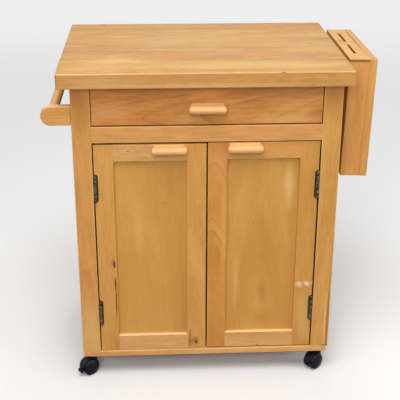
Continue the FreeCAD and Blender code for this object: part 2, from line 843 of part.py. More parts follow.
def make_hood(has_brake):
    """The caster body: a boss for the stem, the cover, and a web between the wheels that holds the axle."""
    boss_top = base_bottom - caster_collar_thickness - hood_boss_gap
    half_web = hood_web_thickness / 2
    inner = wheel_radius + hood_clearance
    boss = upright(hood_boss_radius, boss_top - wheel_radius, 0, 0, wheel_radius)
    half_width = wheel_gap / 2 + wheel_width
    boss = boss.cut(axle_rod(inner, half_width, cut_overrun))
    web = axle_rod(hood_web_radius, half_web)
    bore_bottom = boss_top - hood_stem_bore_depth
    neck = box(-half_web, half_web, -caster_trail, hood_boss_radius / 2, wheel_radius, bore_bottom)
    neck = neck.common(axle_rod(inner + hood_thickness, half_web))
    hood = hood_shell().fuse([boss, web, neck]).removeSplitter()
    hood = hood.cut(axle_rod(axle_radius + running_clearance, half_web, cut_overrun))
    bore_length = hood_stem_bore_depth + cut_overrun
    hood = hood.cut(upright(caster_stem_radius + running_clearance, bore_length, 0, 0, bore_bottom))
    if has_brake:
        hood = hood.cut(brake_room()).fuse(brake_cheeks()).removeSplitter()
    return hood


def brake_pivot():
    """The brake's pivot, as y and z."""
    angle = math.radians(brake_pivot_degrees)
    y = -caster_trail + brake_pivot_distance * math.cos(angle)
    return y, wheel_radius + brake_pivot_distance * math.sin(angle)


def brake_room():
    """The space in the web that the brake's arm needs as it tips."""
    y, z = brake_pivot()
    radius = brake_hub_radius + brake_arm_width / 2
    half = hood_web_thickness / 2 + cut_overrun
    room = rod(radius, 2 * half, Vector(-half, y, z), Vector(1, 0, 0))
    trailing = box(-half, half, -caster_trail - 2 * wheel_radius, y + brake_hub_radius, 0, z)
    keep_axle = axle_rod(wheel_radius / 2, half, cut_overrun)
    return room.fuse(trailing).cut(keep_axle)


def brake_cheeks():
    """Two thin cheeks under the cover with the brake's pivot between them."""
    y, z = brake_pivot()
    inner = brake_plate_thickness / 2 + brake_cheek_gap
    outer = inner + brake_cheek_thickness
    lug_radius = brake_pivot_radius + brake_arm_width / 2
    lug = rod(lug_radius, 2 * outer, Vector(-outer, y, z), Vector(1, 0, 0))
    strip = box(-outer, outer, y, y + lug_radius, z, wheel_radius + wheel_radius)
    cheeks = lug.fuse(strip).common(axle_rod(wheel_radius + hood_clearance, outer, cut_overrun))
    reach = 2 * lug_radius
    slot = box(-inner, inner, y - reach, y + reach, z - reach, wheel_radius + 2 * wheel_radius)
    return cheeks.cut(slot).fuse(rod(brake_pivot_radius, 2 * outer, Vector(-outer, y, z), Vector(1, 0, 0)))


def make_brake():
    """The brake lever: a hub on the pivot, an arm down between the wheels and a pedal outside them."""
    y, z = brake_pivot()
    half = brake_plate_thickness / 2
    end_y = -caster_trail - brake_arm_reach
    pedal_top = brake_pedal_level + brake_pedal_height
    hub = rod(brake_hub_radius, 2 * half, Vector(-half, y, z), Vector(1, 0, 0))
    arm_points = [
        (y - brake_hub_radius, z),
        (y + brake_hub_radius, z),
        (end_y + brake_arm_width, brake_pedal_level),
        (end_y, brake_pedal_level),
    ]
    arm = prism_yz(arm_points, -half, half)
    pedal_half = brake_pedal_width / 2
    pedal = box(-pedal_half, pedal_half, end_y - brake_pedal_length, end_y, brake_pedal_level, pedal_top)
    pedal = eased(pedal, brake_pedal_radius, dict(y=end_y - brake_pedal_length))
    joint = box(-half, half, end_y - cut_overrun, end_y + brake_arm_width, brake_pedal_level, pedal_top)
    lever = hub.fuse([arm, pedal, joint]).removeSplitter()
    bore = rod(brake_pivot_radius + running_clearance, 4 * half, Vector(-2 * half, y, z), Vector(1, 0, 0))
    return lever.cut(bore)


def place_caster(shape, x, y):
    """A caster piece turned to the swivel angle and set under its post."""
    turned = shape.copy()
    turned.rotate(Vector(0, 0, 0), Vector(0, 0, 1), caster_swivel_degrees)
    return moved(turned, x, y, 0)


def make_casters():
    """Four casters; two of them have a brake."""
    plain_hood = make_hood(False)
    brake_hood = make_hood(True)
    wheels = make_wheels()
    brake = make_brake()
    nodes = {}
    for name, (x, y) in caster_places().items():
        has_brake = name in braked_casters
        nodes["caster_hood_" + name] = place_caster(brake_hood if has_brake else plain_hood, x, y)
        nodes["caster_wheels_" + name] = place_caster(wheels, x, y)
        if has_brake:
            nodes["caster_brake_" + name] = place_caster(brake, x, y)
    return nodes


braked_casters = ("front_left", "back_right")


def make_cart():
    """Every node of the cart, by name."""
    hinge_nodes, screw_holes = make_hinges()
    panels = [side_panel_solid(), mirrored(side_panel_solid()), back_panel_solid()]
    cutters = Part.makeCompound(panels + [caster_stem_holes(), screw_holes])
    runner = make_drawer_runner()
    nodes = {
        "worktop": make_worktop(),
        "base_board": make_base_board(),
        "back_panel": back_panel_solid(),
        "drawer_rail": make_drawer_rail(),
        "drawer_runner_left": runner,
        "drawer_runner_right": mirrored(runner),
        "shelf": make_shelf(),
        "shelf_pins": shelf_pin_group(),
        "door_catch": make_catch(),
        "caster_stems": make_caster_stems(),
    }
    for group in (make_posts(cutters), make_side_panels(), make_towel_rail(), make_knife_block(),
                  make_drawer(), make_doors(), hinge_nodes, make_casters()):
        nodes.update(group)
    return nodes


def whole_box(nodes):
    """The box round every node."""
    box_all = FreeCAD.BoundBox()
    for shape in nodes.values():
        box_all.add(shape.optimalBoundingBox(False))
    return box_all


cart = make_cart()
cart_box = whole_box(cart)
origin_x = (cart_box.XMin + cart_box.XMax) / 2
origin_y = (cart_box.YMin + cart_box.YMax) / 2

os.makedirs("parts", exist_ok=True)
for node_name, node_shape in cart.items():
    moved(node_shape, -origin_x, -origin_y, 0).exportStep("parts/" + node_name + ".step")
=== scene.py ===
"""Looks for the kitchen cart: wood, metal and plastic finishes, small screws, floor, light and camera."""

import math

import bmesh
import bpy
from mathutils import Matrix, Vector


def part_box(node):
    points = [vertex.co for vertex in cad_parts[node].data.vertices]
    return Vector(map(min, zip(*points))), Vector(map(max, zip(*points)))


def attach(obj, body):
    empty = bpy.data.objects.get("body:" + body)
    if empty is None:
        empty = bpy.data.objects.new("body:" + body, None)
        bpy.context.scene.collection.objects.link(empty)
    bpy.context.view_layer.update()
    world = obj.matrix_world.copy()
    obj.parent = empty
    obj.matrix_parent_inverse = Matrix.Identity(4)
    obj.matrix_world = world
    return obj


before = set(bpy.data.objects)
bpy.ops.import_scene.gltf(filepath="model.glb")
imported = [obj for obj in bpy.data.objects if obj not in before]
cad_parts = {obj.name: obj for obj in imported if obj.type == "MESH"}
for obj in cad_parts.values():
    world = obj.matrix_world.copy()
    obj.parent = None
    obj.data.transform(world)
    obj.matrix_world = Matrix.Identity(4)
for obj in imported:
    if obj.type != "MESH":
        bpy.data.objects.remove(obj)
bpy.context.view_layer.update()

# Marks and screws are placed in the drawing's frame: x from the case's middle, y back from the front of the
# posts and z up from the floor, in metres. In the row frame, its zero lies here.
MIDDLE_X = -0.013228784
FRONT_Y = -0.2485

# Where the faces that carry marks lie, as depths in the drawing's frame, and the height of the worktop
WORKTOP_FRONT = -0.024
POST_FACE = 0.0
DRAWER_FACE = 0.003
DOOR_FACE = 0.004
PANEL_FACE = 0.0145
BLOCK_FACE = 0.0885
WORKTOP_TOP = 0.857


def in_row_frame(x, y, z):
    """A point of the drawing's frame, in the row frame."""
    return Vector((x + MIDDLE_X, y + FRONT_Y, z))


def srgb(red, green, blue):
    """A colour given in 0 to 255, as the linear colour that Blender uses."""
    linear = []
    for value in (red, green, blue):
        part = value / 255
        linear.append(part / 12.92 if part <= 0.04045 else ((part + 0.055) / 1.055) ** 2.4)
    return (*linear, 1.0)


def shaded(tone, factors):
    """A tone in 0 to 255 made darker or paler, channel by channel, as a linear colour."""
    return srgb(*(min(255, value * factor) for value, factor in zip(tone, factors)))


class Graph:
    """Short ways to add and link the nodes of one material."""

    def __init__(self, name):
        self.material = bpy.data.materials.new(name)
        self.material.use_nodes = True
        self.tree = self.material.node_tree
        self.shader = self.tree.nodes["Principled BSDF"]

    def add(self, kind, **settings):
        """A new node with these settings."""
        node = self.tree.nodes.new("ShaderNode" + kind)
        for key, value in settings.items():
            setattr(node, key, value)
        return node

    def put(self, value, socket):
        """Links an output to the socket, or sets the socket to a plain value."""
        if isinstance(value, bpy.types.NodeSocket):
            self.tree.links.new(value, socket)
        else:
            socket.default_value = value

    def fill(self, node, values):
        """Puts values into the node's inputs, from the first one on."""
        for value, socket in zip(values, node.inputs):
            self.put(value, socket)
        return node

    def math(self, operation, *values):
        return self.fill(self.add("Math", operation=operation), values).outputs[0]

    def vector(self, operation, *values):
        node = self.fill(self.add("VectorMath", operation=operation), values)
        return node.outputs["Value"] if operation == "LENGTH" else node.outputs["Vector"]

    def join(self, x, y, z):
        return self.fill(self.add("CombineXYZ"), (x, y, z)).outputs[0]

    def split(self, vector):
        return self.fill(self.add("SeparateXYZ"), (vector,)).outputs

    def mix(self, factor, first, second, blend="MIX"):
        """Two colours mixed by a factor."""
        node = self.add("Mix", data_type="RGBA", blend_type=blend)
        self.put(factor, node.inputs["Factor"])
        self.put(first, node.inputs[6])
        self.put(second, node.inputs[7])
        return node.outputs[2]

    def smooth(self, value, low, high, to_low=0.0, to_high=1.0):
        """The value eased from one range to another."""
        node = self.add("MapRange", interpolation_type="SMOOTHSTEP")
        return self.fill(node, (value, low, high, to_low, to_high)).outputs[0]

    def stretch(self, values, pace, start=0.0):
        """Three coordinates, each times its own pace, as one vector. The first is moved on by start."""
        first = self.math("MULTIPLY_ADD", values[0], pace[0], start)
        rest = [self.math("MULTIPLY", value, step) for value, step in zip(values[1:], pace[1:])]
        return self.join(first, *rest)

    def noise(self, where, detail=2.0, roughness=0.5, dimensions="3D"):
        node = self.add("TexNoise", noise_dimensions=dimensions)
        self.put(where, node.inputs["W" if dimensions == "1D" else "Vector"])
        node.inputs["Scale"].default_value = 1.0
        node.inputs["Detail"].default_value = detail
        node.inputs["Roughness"].default_value = roughness
        return node.outputs

    def even_noise(self, where, pace, detail=2.0, roughness=0.5):
        """Noise with the same pace in every direction."""
        return self.noise(self.vector("MULTIPLY", where, Vector((pace,) * 3)), detail, roughness)["Fac"]

    def bump(self, height, distance):
        """Small relief on the whole surface, up to that distance in metres."""
        node = self.add("Bump")
        node.inputs["Distance"].default_value = distance
        self.put(height, node.inputs["Height"])
        self.put(node.outputs[0], self.shader.inputs["Normal"])


# The wood's tones: pale, dark, and the warm or cool shade that drifts through it
TONES = {
    "top": ((190, 144, 65), (176, 126, 51), (184, 130, 54)),
    "post": ((212, 159, 86), (198, 140, 71), (208, 143, 72)),
    "panel": ((208, 156, 77), (194, 139, 64), (204, 145, 70)),
    "drawer": ((206, 146, 75), (183, 117, 56), (199, 125, 59)),
    "rail": ((214, 162, 92), (200, 144, 76), (210, 148, 83)),
    "stile": ((211, 157, 81), (197, 141, 67), (207, 147, 75)),
    "orange": ((210, 150, 74), (195, 129, 57), (206, 136, 62)),
    "pull": ((226, 176, 116), (216, 163, 102), (222, 169, 108)),
    "pale": ((218, 168, 104), (206, 152, 88), (214, 156, 94)),
    "block": ((214, 160, 90), (200, 142, 74), (210, 150, 80)),
    "front": ((216, 159, 88), (205, 144, 75), (211, 150, 80)),
    "lid": ((212, 160, 88), (201, 147, 74), (208, 154, 81)),
    "inside": ((224, 188, 138), (204, 162, 110), (214, 174, 122)),
}

# How late wood darkens the dark tone, and how worn edges and painted highlights lighten the pale one, channel
# by channel
LATE_FALL = (0.76, 0.64, 0.52)
WEAR_AND_HIGHLIGHT_RISE = (1.2, 1.36, 1.75)

# How often each pattern in the wood turns in a metre: across the grain, into the board and along the grain
WOBBLE_PACE = (9.0, 9.0, 2.4)
DRIFT_PACE = (13.0, 13.0, 3.0)
PORE_PACE = (1100.0, 1100.0, 60.0)

# Fibres, streaks and mottling: each one's pace, detail and roughness, the range of its noise that counts, and
# how much the shade changes at the low and the high end of that range
FINE_PATTERNS = (
    ((260.0, 260.0, 7.0), 3.0, 0.6, (0.25, 0.75), (-0.04, 0.03)),
    ((230.0, 120.0, 24.0), 2.0, 0.6, (0.4, 0.72), (0.02, -0.08)),
    ((46.0, 30.0, 13.0), 2.0, 0.5, (0.3, 0.7), (-0.03, 0.03)),
)

# Where the wood is shaded, red falls less than green and blue falls more
RED_POWER = 0.85
BLUE_POWER = 1.8

# The ranges of noise over which pores, the rings' tone and the drift of shade come in, the drift's strength,
# and the range over which the surface counts as turning round an edge
PORE_RANGE = (0.62, 0.74)
BAND_RANGE = (0.3, 0.7)
DRIFT_RANGE = (0.38, 0.66)
DRIFT_TINT = 0.75
ARRIS_RANGE = (0.1, 0.36)

# How far each pattern moves on from one piece to the next, so that no two pieces are alike
WOBBLE_STEP = 3.7
DRIFT_STEP = 1.9
BAND_STEP = 5.3
STAVE_STEP = 7.1

# How far the rings sway, in metres, how often their tone changes from ring to ring, how many rings their
# spacing wanders by, and how sharp late wood is
RING_SWAY = 0.03
BAND_PACE = 0.42
RING_WANDER = 1.6
LATE_SHARPNESS = 5.0

# How strongly pores and end grain show, and between which values of its normal a face comes to look along
# an axis
PORE_TINT = 0.22
END_GRAIN_TINT = 0.4
FACE_ON = (0.6, 0.95)

# The lacquer: its roughness, what drift and fibres add to it, its shine, and the wood's relief in metres with
# late wood's share in it
LACQUER_ROUGHNESS = 0.36
DRIFT_ROUGHNESS = 0.1
FIBRE_ROUGHNESS = 0.18
LACQUER_SPECULAR = 0.34
WOOD_RELIEF = 0.00016
LATE_RELIEF = 0.35

# Glued staves: how uneven their widths are, how far apart in the log they were cut, across and along it in
# metres, how wide the glue line is, and each channel's least and most shade
STAVE_UNEVENNESS = 0.55
STAVE_SHIFTS = (0.09, 3.0)
GLUE_LINE = 0.0009
STAVE_SHADES = ((0.95, 1.03), (0.91, 1.04), (0.84, 1.08))

# Which axes run across the board, into it and along its grain
BOARD_AXES = {"X": (1, 2, 0), "Y": (0, 2, 1), "Z": (0, 1, 2)}
ALL_EDGES = ((0, 1), (1, 2), (0, 2))


def wood(name, low, high, grain, tone, seed, pith=(0.0, -0.09), taper=0.05, ring=0.006, lines=0.4,
         stave=0.0, contrast=1.0, wear=0.5, edges=ALL_EDGES, top_highlight=0.0, marks=()):
    """Lacquered solid wood, cut from a log whose rings show as arches and stripes.

    The pith lies beside the piece's middle, across and behind it. The log narrows by taper, its rings lie
    ring metres apart, and late wood shows as strongly as lines. A glued board's staves are about stave metres
    wide. Contrast strengthens the streaks. Edges between the named pairs of axes are painted paler by wear,
    as worn lacquer and as a painted highlight. Faces that look up get a painted highlight, as if lit from
    above.
    """
    graph = Graph(name)
    coordinates = graph.add("TexCoord")
    place = coordinates.outputs["Object"]
    normal = graph.split(coordinates.outputs["Normal"])
    middle = (Vector(low) + Vector(high)) / 2
    local = graph.split(graph.vector("SUBTRACT", place, middle))
    order = BOARD_AXES[grain]
    across, depth, along = (local[index] for index in order)
    if stave:
        across, along, shade, glue = staves(graph, across, along, stave, seed)
    side, deep = from_pith(graph, across, depth, along, pith, seed)
    band, late = growth_rings(graph, side, deep, along, taper, ring, seed)
    fibre, shading = fibres(graph, side, deep, along, contrast)
    pits = graph.noise(graph.stretch((side, deep, along), PORE_PACE), 1.0)["Fac"]
    pores = graph.smooth(pits, *PORE_RANGE)
    drift = graph.noise(graph.stretch((across, depth, along), DRIFT_PACE, seed * DRIFT_STEP), 2.0)["Fac"]
    pale, dark, warm = (srgb(*value) for value in TONES[tone])
    late_tint = shaded(TONES[tone][1], LATE_FALL)
    pale_wear_and_highlight = shaded(TONES[tone][0], WEAR_AND_HIGHLIGHT_RISE)
    colour = graph.mix(graph.smooth(band, *BAND_RANGE), pale, dark)
    colour = graph.mix(graph.smooth(drift, *DRIFT_RANGE, 0.0, DRIFT_TINT), colour, warm)
    colour = graph.mix(graph.math("MULTIPLY", late, lines), colour, late_tint)
    colour = graph.mix(1.0, colour, shading, "MULTIPLY")
    colour = graph.mix(graph.math("MULTIPLY", pores, PORE_TINT), colour, late_tint)
    if stave:
        colour = graph.mix(1.0, colour, shade, "MULTIPLY")
        colour = graph.mix(glue, colour, late_tint)
    end_grain = graph.smooth(graph.math("ABSOLUTE", normal[order[2]]), *FACE_ON)
    colour = graph.mix(graph.math("MULTIPLY", end_grain, END_GRAIN_TINT), colour, late_tint)
    # Edges painted paler: partly worn lacquer, partly a painted highlight
    if wear:
        colour = graph.mix(graph.math("MULTIPLY", arris(graph, normal, edges), wear), colour, pale_wear_and_highlight)
    # Painted highlight on faces that look up, standing in for light from above
    if top_highlight:
        colour = graph.mix(graph.smooth(normal[2], *FACE_ON, 0.0, top_highlight), colour, pale_wear_and_highlight)
    for settings in marks:
        colour = blemish_and_painted_light(graph, place, colour, **settings)
    graph.put(colour, graph.shader.inputs["Base Color"])
    roughness = graph.math("MULTIPLY_ADD", drift, DRIFT_ROUGHNESS, LACQUER_ROUGHNESS)
    graph.put(graph.math("MULTIPLY_ADD", fibre, FIBRE_ROUGHNESS, roughness), graph.shader.inputs["Roughness"])
    raised = graph.math("MULTIPLY_ADD", late, LATE_RELIEF, fibre)
    graph.bump(graph.math("SUBTRACT", raised, pores), WOOD_RELIEF)
    graph.shader.inputs["Specular IOR Level"].default_value = LACQUER_SPECULAR
    return graph.material


def from_pith(graph, across, depth, along, pith, seed):
    """The place in the log, measured from its pith, which sways a little along the grain."""
    wobble = graph.noise(graph.stretch((across, depth, along), WOBBLE_PACE, seed * WOBBLE_STEP), 1.5)
    places = []
    for value, centre, turn in zip((across, depth), pith, graph.split(wobble["Color"])):
        offset = graph.math("SUBTRACT", value, centre + RING_SWAY / 2)
        places.append(graph.math("MULTIPLY_ADD", turn, RING_SWAY, offset))
    return places


def growth_rings(graph, side, deep, along, taper, ring, seed):
    """The slow change of tone from ring to ring, and the late wood that ends each ring, stronger in some."""
    radius = graph.vector("LENGTH", graph.join(side, deep, 0.0))
    rings = graph.math("DIVIDE", graph.math("MULTIPLY_ADD", along, taper, radius), ring)
    run = graph.math("MULTIPLY_ADD", rings, BAND_PACE, seed * BAND_STEP)
    band = graph.noise(run, 1.5, dimensions="1D")["Fac"]
    uneven = graph.math("MULTIPLY_ADD", band, RING_WANDER, rings)
    late = graph.math("POWER", graph.math("FRACT", uneven), LATE_SHARPNESS)
    chance = graph.add("TexWhiteNoise", noise_dimensions="1D")
    graph.put(graph.math("FLOOR", uneven), chance.inputs["W"])
    return band, graph.math("MULTIPLY", late, graph.math("POWER", chance.outputs["Value"], 2.0))


def fibres(graph, side, deep, along, contrast):
    """Fine fibres, short streaks and soft mottling, as the fibres' noise and as a tint to multiply by."""
    noises = []
    shades = []
    for pace, detail, roughness, reach, changes in FINE_PATTERNS:
        noises.append(graph.noise(graph.stretch((side, deep, along), pace), detail, roughness)["Fac"])
        shades.append(graph.smooth(noises[-1], *reach, *(1 + change * contrast for change in changes)))
    shade = shades[0]
    for other in shades[1:]:
        shade = graph.math("MULTIPLY", shade, other)
    red = graph.math("POWER", shade, RED_POWER)
    blue = graph.math("POWER", shade, BLUE_POWER)
    return noises[0], graph.join(red, shade, blue)


def arris(graph, normal, edges):
    """Where the surface turns round an edge, from 0 to 1. Worn lacquer and a painted highlight go there."""
    turned = 0.0
    for one, other in edges:
        slant = graph.math("ABSOLUTE", graph.math("MULTIPLY", normal[one], normal[other]))
        turned = graph.math("MAXIMUM", slant, turned)
    return graph.smooth(turned, *ARRIS_RANGE)


def staves(graph, across, along, width, seed):
    """Edge-glued staves, each with its own stretch of log and its own shade, and thin glue lines between."""
    run = graph.math("MULTIPLY_ADD", across, 1 / width, seed * STAVE_STEP)
    cell = graph.add("TexVoronoi", voronoi_dimensions="1D")
    edge = graph.add("TexVoronoi", voronoi_dimensions="1D", feature="DISTANCE_TO_EDGE")
    for node in (cell, edge):
        graph.put(run, node.inputs["W"])
        node.inputs["Scale"].default_value = 1.0
        node.inputs["Randomness"].default_value = STAVE_UNEVENNESS
    tints = graph.split(cell.outputs["Color"])
    inside = graph.math("MULTIPLY", graph.math("SUBTRACT", run, cell.outputs["W"]), width)
    moved_across = graph.math("MULTIPLY_ADD", graph.math("SUBTRACT", tints[0], 0.5), STAVE_SHIFTS[0], inside)
    moved_along = graph.math("MULTIPLY_ADD", tints[1], STAVE_SHIFTS[1], along)
    channels = zip((tints[2], tints[2], tints[0]), STAVE_SHADES)
    shade = graph.join(*(graph.smooth(tint, 0.0, 1.0, *shades) for tint, shades in channels))
    glue = graph.smooth(edge.outputs["Distance"], 0.0, GLUE_LINE / width, 0.5, 0.0)
    return moved_across, moved_along, shade, glue


def blemish_and_painted_light(graph, place, colour, at, size, tint, strength, ragged, grain, core):
    """The colour with a mark on it: a knot, a chip, a crack, a smear, a soft patch, painted shade or painted
    light.
    """
    offset = graph.vector("SUBTRACT", place, in_row_frame(*at))
    reach = graph.vector("LENGTH", graph.vector("DIVIDE", offset, Vector(size)))
    rough = graph.math("SUBTRACT", graph.even_noise(offset, grain, 3.0, 0.65), 0.5)
    reach = graph.math("MULTIPLY_ADD", rough, ragged * 2, reach)
    return graph.mix(graph.smooth(reach, core, 1.0, strength, 0.0), colour, srgb(*tint))


def mark(at, size, tint, strength=0.8, ragged=0.5, grain=160.0, core=0.45):
    """The settings of a mark: its place and its reach to each side in the drawing's frame, and its tint.

    Its edge is as uneven as ragged says, at the pace of grain. It has its full strength out to core, which is
    a share of its reach, and fades from there.
    """
    return dict(at=at, size=size, tint=tint, strength=strength, ragged=ragged, grain=grain, core=core)


def patch(at, size, tint, strength=0.6):
    """The settings of a soft patch of another shade."""
    return mark(at, size, tint, strength, ragged=0.35, grain=22.0, core=0.0)


# How far off its face a soft patch reaches
PATCH_DEPTH = 0.01


def top_patch(x, y, wide, long, tint, strength):
    """A soft patch on the worktop's upper face."""
    return patch((x, y, WORKTOP_TOP), (wide, long, PATCH_DEPTH), tint, strength)


def front_patch(face, x, z, wide, high, tint, strength):
    """A soft patch on a face that looks to the front."""
    return patch((x, face, z), (wide, PATCH_DEPTH, high), tint, strength)


# The metals and the plastics: the pace of their skin and of their shades, how much the skin changes their
# roughness, its relief in metres, and how metallic the metals are
METAL_SKIN = 900.0
METAL_WEAR = (170.0, 170.0, 90.0)
METAL_UNEVENNESS = 0.2
METAL_RELIEF = 0.00006
METALLIC = 0.9
PLASTIC_SKIN = 700.0
PLASTIC_FLOW = 45.0
PLASTIC_UNEVENNESS = 0.12
PLASTIC_RELIEF = 0.00003


def metal(name, pale, dark, roughness, marks=()):
    """Plated or rubbed metal with a fine uneven skin."""
    graph = Graph(name)
    place = graph.add("TexCoord").outputs["Object"]
    skin = graph.even_noise(place, METAL_SKIN, 3.0, 0.6)
    wear = graph.noise(graph.vector("MULTIPLY", place, Vector(METAL_WEAR)))["Fac"]
    colour = graph.mix(graph.smooth(wear, 0.35, 0.68), srgb(*dark), srgb(*pale))
    for settings in marks:
        colour = blemish_and_painted_light(graph, place, colour, **settings)
    graph.put(colour, graph.shader.inputs["Base Color"])
    graph.shader.inputs["Metallic"].default_value = METALLIC
    uneven = graph.math("MULTIPLY_ADD", skin, METAL_UNEVENNESS, roughness - METAL_UNEVENNESS / 2)
    graph.put(uneven, graph.shader.inputs["Roughness"])
    graph.bump(skin, METAL_RELIEF)
    return graph.material


def plastic(name, pale, dark, roughness, gloss=0.5):
    """Moulded plastic with a fine matt grain and faint flow shades."""
    graph = Graph(name)
    place = graph.add("TexCoord").outputs["Object"]
    skin = graph.even_noise(place, PLASTIC_SKIN)
    flow = graph.even_noise(place, PLASTIC_FLOW)
    colour = graph.mix(graph.smooth(flow, 0.35, 0.65), srgb(*dark), srgb(*pale))
    graph.put(colour, graph.shader.inputs["Base Color"])
    uneven = graph.math("MULTIPLY_ADD", flow, PLASTIC_UNEVENNESS, roughness - PLASTIC_UNEVENNESS)
    uneven = graph.math("MULTIPLY_ADD", skin, PLASTIC_UNEVENNESS, uneven)
    graph.put(uneven, graph.shader.inputs["Roughness"])
    graph.bump(skin, PLASTIC_RELIEF)
    graph.shader.inputs["Specular IOR Level"].default_value = gloss
    return graph.material


DARK_BROWN = (70, 36, 20)
# Painted shade for the gaps beside the doors, at the doors' middle and at their sides
GAP_SHADE_BLACK = (52, 22, 6)
GAP_SHADE_BROWN = (70, 34, 12)


def hinge_recess_shade(x, z):
    """Painted shade on the inside of the recess cut for a hinge in the door's edge."""
    return mark((x, 0.0080, z - 0.0015), (0.014, 0.0037, 0.056), (48, 24, 10), 0.9, 0.1, 30.0, 0.8)


def gap_shade(x, tint):
    """Painted shade on the edge of a stile or post that faces the gap beside a door, where the gap is dark.
    """
    return mark((x, 0.008, 0.374), (0.0007, 0.011, 0.42), tint, 1.0, 0.05, 30.0, 0.85)


def slot_wall(y):
    """The walls of a slot in the knife block's lid, painted an even orange brown."""
    return mark((0.3885, y, 0.8532), (0.0044, 0.057, 0.0050), (208, 132, 66), 0.9, ragged=0.0, core=0.85)


def block_wall_light(x):
    """A painted pool of light on the upper part of a long wall inside the knife block, seen through the
    slots.
    """
    return mark((x, 0.258, 0.80), (0.0022, 0.17, 0.05), (244, 160, 70), ragged=0.0, core=0.9)


def block_seam():
    """The dark seam between the knife block's lid and its outer board."""
    return mark((0.4152, 0.31, WORKTOP_TOP), (0.0021, 0.17, 0.003), (100, 52, 18), 0.95, ragged=0.1, core=0.7)


WORKTOP_MARKS = (
    top_patch(0.04, 0.16, 0.46, 0.038, (190, 127, 53), 0.7),
    top_patch(0.14, 0.135, 0.10, 0.02, (194, 120, 49), 0.6),
    top_patch(-0.35, 0.165, 0.10, 0.03, (190, 121, 48), 0.7),
    top_patch(-0.09, 0.125, 0.10, 0.03, (189, 121, 47), 0.7),
    top_patch(-0.22, 0.10, 0.13, 0.05, (212, 169, 90), 0.6),
    top_patch(0.05, 0.05, 0.42, 0.06, (199, 155, 72), 0.7),
    top_patch(0.0, 0.31, 0.42, 0.11, (192, 145, 76), 0.7),
    top_patch(0.0, 0.49, 0.48, 0.07, (176, 129, 55), 0.7),
    top_patch(-0.17, 0.425, 0.16, 0.02, (160, 112, 47), 0.6),
    top_patch(0.25, 0.03, 0.15, 0.055, (210, 157, 84), 0.6),
    top_patch(-0.27, 0.03, 0.15, 0.055, (208, 157, 84), 0.6),
    top_patch(0.29, 0.2, 0.14, 0.06, (200, 158, 86), 0.6),
    top_patch(0.27, 0.055, 0.09, 0.008, (186, 120, 49), 0.7),
    front_patch(WORKTOP_FRONT, 0.0, 0.838, 0.6, 0.04, (200, 147, 88), 0.65),
    front_patch(WORKTOP_FRONT, -0.27, 0.838, 0.17, 0.04, (208, 157, 102), 0.6),
    front_patch(WORKTOP_FRONT, 0.335, 0.838, 0.06, 0.04, (203, 142, 88), 0.6),
    front_patch(WORKTOP_FRONT, 0.0, 0.853, 0.55, 0.013, (192, 132, 76), 0.6),
    front_patch(WORKTOP_FRONT, 0.0, 0.825, 0.55, 0.010, (216, 164, 110), 0.7),
    mark((0.13, 0.2, WORKTOP_TOP), (0.30, 0.003, 0.004), (178, 124, 66), 0.5, ragged=0.3),
    mark((0.18, 0.118, WORKTOP_TOP), (0.18, 0.003, 0.004), (182, 122, 62), 0.6, ragged=0.3),
    mark((-0.06, 0.112, WORKTOP_TOP), (0.07, 0.005, 0.004), (186, 122, 56), 0.5),
    mark((0.181, -0.023, 0.856), (0.008, 0.0028, 0.003), (132, 76, 40)),
    mark((0.163, -0.020, 0.8565), (0.012, 0.001, 0.002), (150, 92, 48), 0.5),
    mark((-0.272, 0.506, WORKTOP_TOP), (0.014, 0.010, 0.004), (134, 80, 42), 0.7),
    mark((0.287, 0.262, WORKTOP_TOP), (0.011, 0.007, 0.004), (150, 94, 50), 0.6),
)

# A painted highlight along the left part of the base board's top edge
BASE_MARKS = (mark((-0.2, -0.002, 0.0755), (0.09, 0.01, 0.0012), (236, 206, 170), 0.35),)

LEFT_POST_MARKS = (
    gap_shade(-0.2865, GAP_SHADE_BROWN),
    # Painted shadow from the worktop over the top of the post
    patch((-0.315, POST_FACE, 0.77), (0.05, 0.02, 0.16), (176, 110, 48), 0.8),
    patch((-0.31, POST_FACE, 0.12), (0.05, 0.02, 0.2), (216, 170, 104), 0.8),
)

RIGHT_POST_MARKS = (
    gap_shade(0.2865, GAP_SHADE_BROWN),
    # Painted shadow from the worktop over the top of the post
    patch((0.31, POST_FACE, 0.79), (0.05, 0.02, 0.11), (178, 116, 54), 0.7),
    # A painted highlight line near the post's right edge, and a darker strip beside it
    mark((0.3225, POST_FACE, 0.155), (0.0013, 0.003, 0.10), (244, 200, 148), 0.9, ragged=0.3),
    mark((0.3295, POST_FACE, 0.16), (0.0046, 0.004, 0.13), (160, 98, 42), 0.75, ragged=0.3),
    mark((0.3215, POST_FACE, 0.0795), (0.0028, 0.003, 0.0028), DARK_BROWN, 0.95, ragged=0.3),
    mark((0.329, POST_FACE, 0.0795), (0.0028, 0.003, 0.0028), DARK_BROWN, 0.95, ragged=0.3),
)

DRAWER_MARKS = (
    # A painted glow above the pull: the light that the pull's top throws onto the front
    front_patch(DRAWER_FACE, 0.0, 0.795, 0.062, 0.026, (222, 142, 66), 0.8),
    # The next two: painted shadow from the worktop's overhang along the top of the front
    front_patch(DRAWER_FACE, 0.13, 0.803, 0.17, 0.016, (180, 112, 56), 0.6),
    front_patch(DRAWER_FACE, -0.15, 0.811, 0.18, 0.012, (184, 116, 58), 0.6),
    front_patch(DRAWER_FACE, 0.22, 0.728, 0.12, 0.018, (216, 160, 98), 0.8),
    front_patch(DRAWER_FACE, -0.24, 0.75, 0.08, 0.035, (204, 146, 88), 0.6),
)

